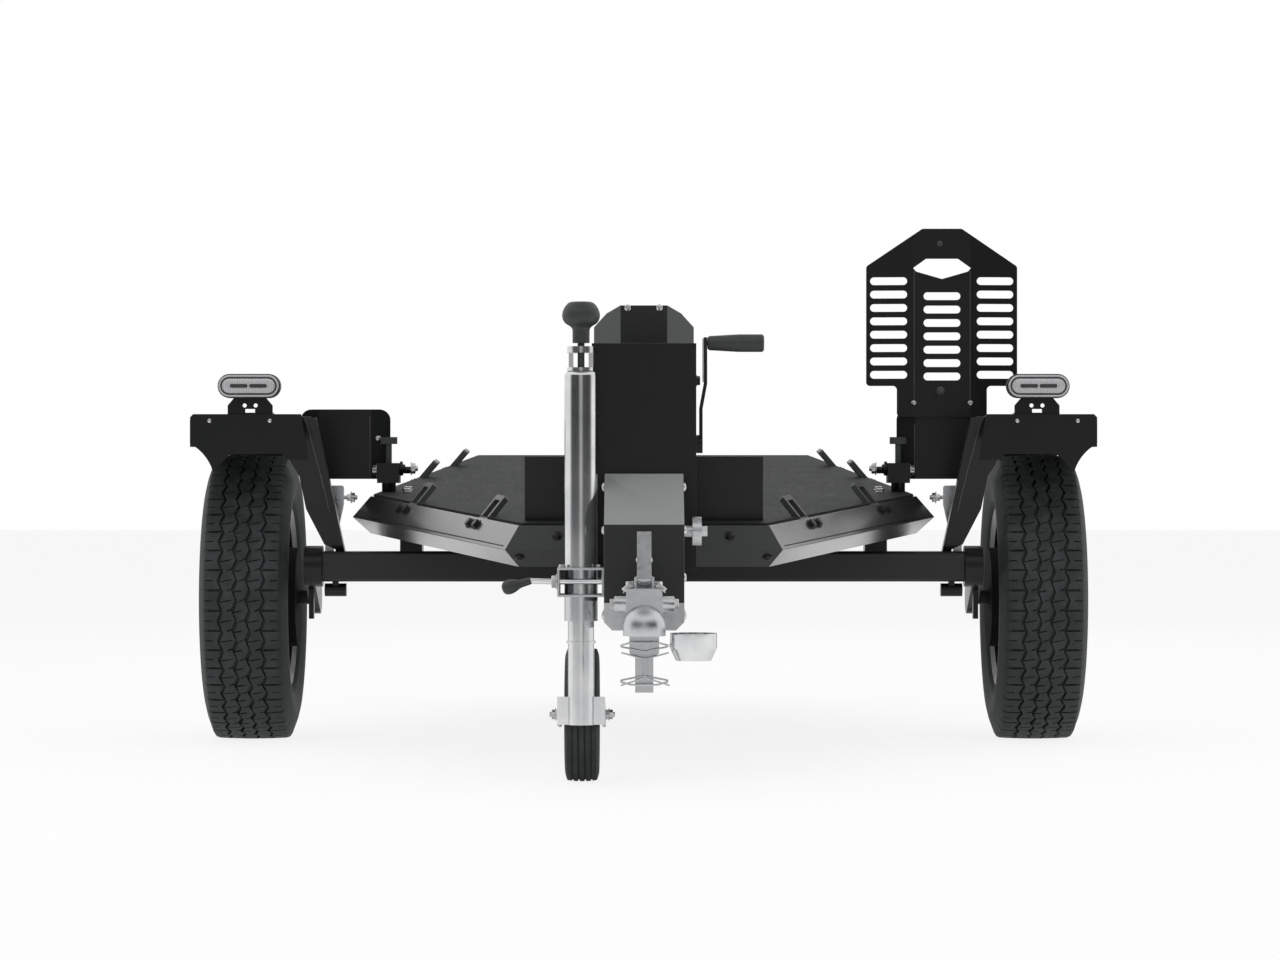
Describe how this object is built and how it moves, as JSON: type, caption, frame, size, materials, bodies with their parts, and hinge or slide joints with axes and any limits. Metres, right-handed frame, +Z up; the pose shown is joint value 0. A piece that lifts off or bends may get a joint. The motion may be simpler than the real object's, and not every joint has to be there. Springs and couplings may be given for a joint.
{
  "type": "motorcycle trailer",
  "caption": "Low platform trailer for a motorcycle, with folded side rails, tie-down loops, wheel chock, winch tower, loading ramp, jockey wheel and ball coupling.",
  "frame": {"origin": "on the ground under the middle of the trailer's overall length and width", "axes": "+Z up, +Y to the rear, -Y to the coupling, +X to the right as seen from the coupling end"},
  "size_m": [1.778, 2.8902, 1.03],
  "materials": {
    "black_paint": "semi-gloss black",
    "deck_sheet": "dark tread sheet",
    "grey_paint": "satin grey",
    "galvanised": "galvanised",
    "bright_plating": "bright zinc",
    "rim_paint": "gloss black",
    "tyre_rubber": "matt rubber",
    "black_plastic": "matt black",
    "lamp_lens": "white lens in a black housing",
    "reflector_red": "red reflector"
  },
  "bodies": {
    "trailer": {"axle_beam": "black_paint", "drawbar": "black_paint", "winch_tower": "black_paint", "rear_wing_right": "black_paint", "rear_wing_left": "black_paint", "rear_rail": "black_paint", "deck_frame": "black_paint", "loops_front_right": "black_paint", "loops_front_left": "black_paint", "loops_rear_right": "black_paint", "loops_rear_left": "black_paint", "bulkhead": "black_paint", "fender_right": "black_paint", "fender_left": "black_paint", "fender_post_right": "black_paint", "fender_post_left": "black_paint", "lamp_bracket_right": "black_paint", "lamp_bracket_left": "black_paint", "swing_arm_right": "black_paint", "swing_arm_left": "black_paint", "side_bracket_right": "black_paint", "side_bracket_left": "black_paint", "clamp_block_right": "black_paint", "clamp_block_left": "black_paint", "axle_bushes": "black_paint", "deck_plate": "deck_sheet", "front_wing_right": "grey_paint", "front_wing_left": "grey_paint", "front_rail": "grey_paint", "wheel_chock": "grey_paint", "drawbar_hood": "grey_paint", "coupling_body": "galvanised", "drawbar_cradle": "galvanised", "hitch_guide": "galvanised", "lever_plates": "galvanised", "jockey_clamp": "galvanised", "guide_roller": "galvanised", "jockey_tube": "bright_plating", "ball_cup": "bright_plating", "lamp_right": "lamp_lens", "lamp_left": "lamp_lens", "side_reflectors": "reflector_red"},
    "wheel_right": {"wheel_hub_right": "rim_paint", "rim_right": "rim_paint", "tyre_right": "tyre_rubber"},
    "wheel_left": {"wheel_hub_left": "rim_paint", "rim_left": "rim_paint", "tyre_left": "tyre_rubber"},
    "jockey_shaft": {"jockey_inner_tube": "bright_plating"},
    "jockey_yoke": {"jockey_fork": "bright_plating"},
    "jockey_wheel": {"jockey_rim": "bright_plating", "jockey_tyre": "tyre_rubber"},
    "jockey_handle": {"jockey_knob": "black_plastic"},
    "clamp_handle": {"clamp_lever": "galvanised"},
    "coupling_latch": {"coupling_handle": "galvanised"},
    "winch_crank": {"crank_arm": "black_paint", "crank_grip": "black_plastic"},
    "ramp": {"ramp_plate": "black_paint"},
    "clamp_screw_right": {"t_handle_right": "black_plastic"},
    "clamp_screw_left": {"t_handle_left": "black_plastic"}
  },
  "joints": [
    {"name": "wheel_right_spin", "type": "hinge", "parent": "trailer", "child": "wheel_right", "pos_m": [0.79, 0.20988, 0.2875], "axis": [1, 0, 0], "continuous": true},
    {"name": "wheel_left_spin", "type": "hinge", "parent": "trailer", "child": "wheel_left", "pos_m": [-0.79, 0.20988, 0.2875], "axis": [1, 0, 0], "continuous": true},
    {"name": "jockey_lift", "type": "slide", "parent": "trailer", "child": "jockey_shaft", "axis": [0, 0, 1], "range_m": [-0.15, 0.03]},
    {"name": "jockey_swivel", "type": "hinge", "parent": "jockey_shaft", "child": "jockey_yoke", "pos_m": [-0.108, -1.09012, 0.2], "axis": [0, 0, 1], "continuous": true},
    {"name": "jockey_wheel_spin", "type": "hinge", "parent": "jockey_yoke", "child": "jockey_wheel", "pos_m": [-0.108, -0.94012, 0.1167], "axis": [1, 0, 0], "continuous": true},
    {"name": "jockey_wind", "type": "hinge", "parent": "trailer", "child": "jockey_handle", "pos_m": [-0.108, -1.09012, 0.79], "axis": [0, 0, 1], "continuous": true},
    {"name": "clamp_turn", "type": "hinge", "parent": "trailer", "child": "clamp_handle", "pos_m": [-0.15, -1.12412, 0.354], "axis": [1, 0, 0], "continuous": true},
    {"name": "coupling_lift", "type": "hinge", "parent": "trailer", "child": "coupling_latch", "pos_m": [0, -1.35812, 0.36], "axis": [1, 0, 0], "range_deg": [0, 50]},
    {"name": "crank_turn", "type": "hinge", "parent": "trailer", "child": "winch_crank", "pos_m": [0.1, -0.94012, 0.59], "axis": [1, 0, 0], "continuous": true},
    {"name": "ramp_fold", "type": "hinge", "parent": "trailer", "child": "ramp", "pos_m": [0.6, 0.14188, 0.68], "axis": [-1, 0, 0], "range_deg": [0, 90]},
    {"name": "clamp_screw_right_turn", "type": "hinge", "parent": "trailer", "child": "clamp_screw_right", "pos_m": [0.51, 0.09388, 0.56], "axis": [0, 0, 1], "continuous": true},
    {"name": "clamp_screw_left_turn", "type": "hinge", "parent": "trailer", "child": "clamp_screw_left", "pos_m": [-0.51, 0.09388, 0.56], "axis": [0, 0, 1], "continuous": true}
  ]
}
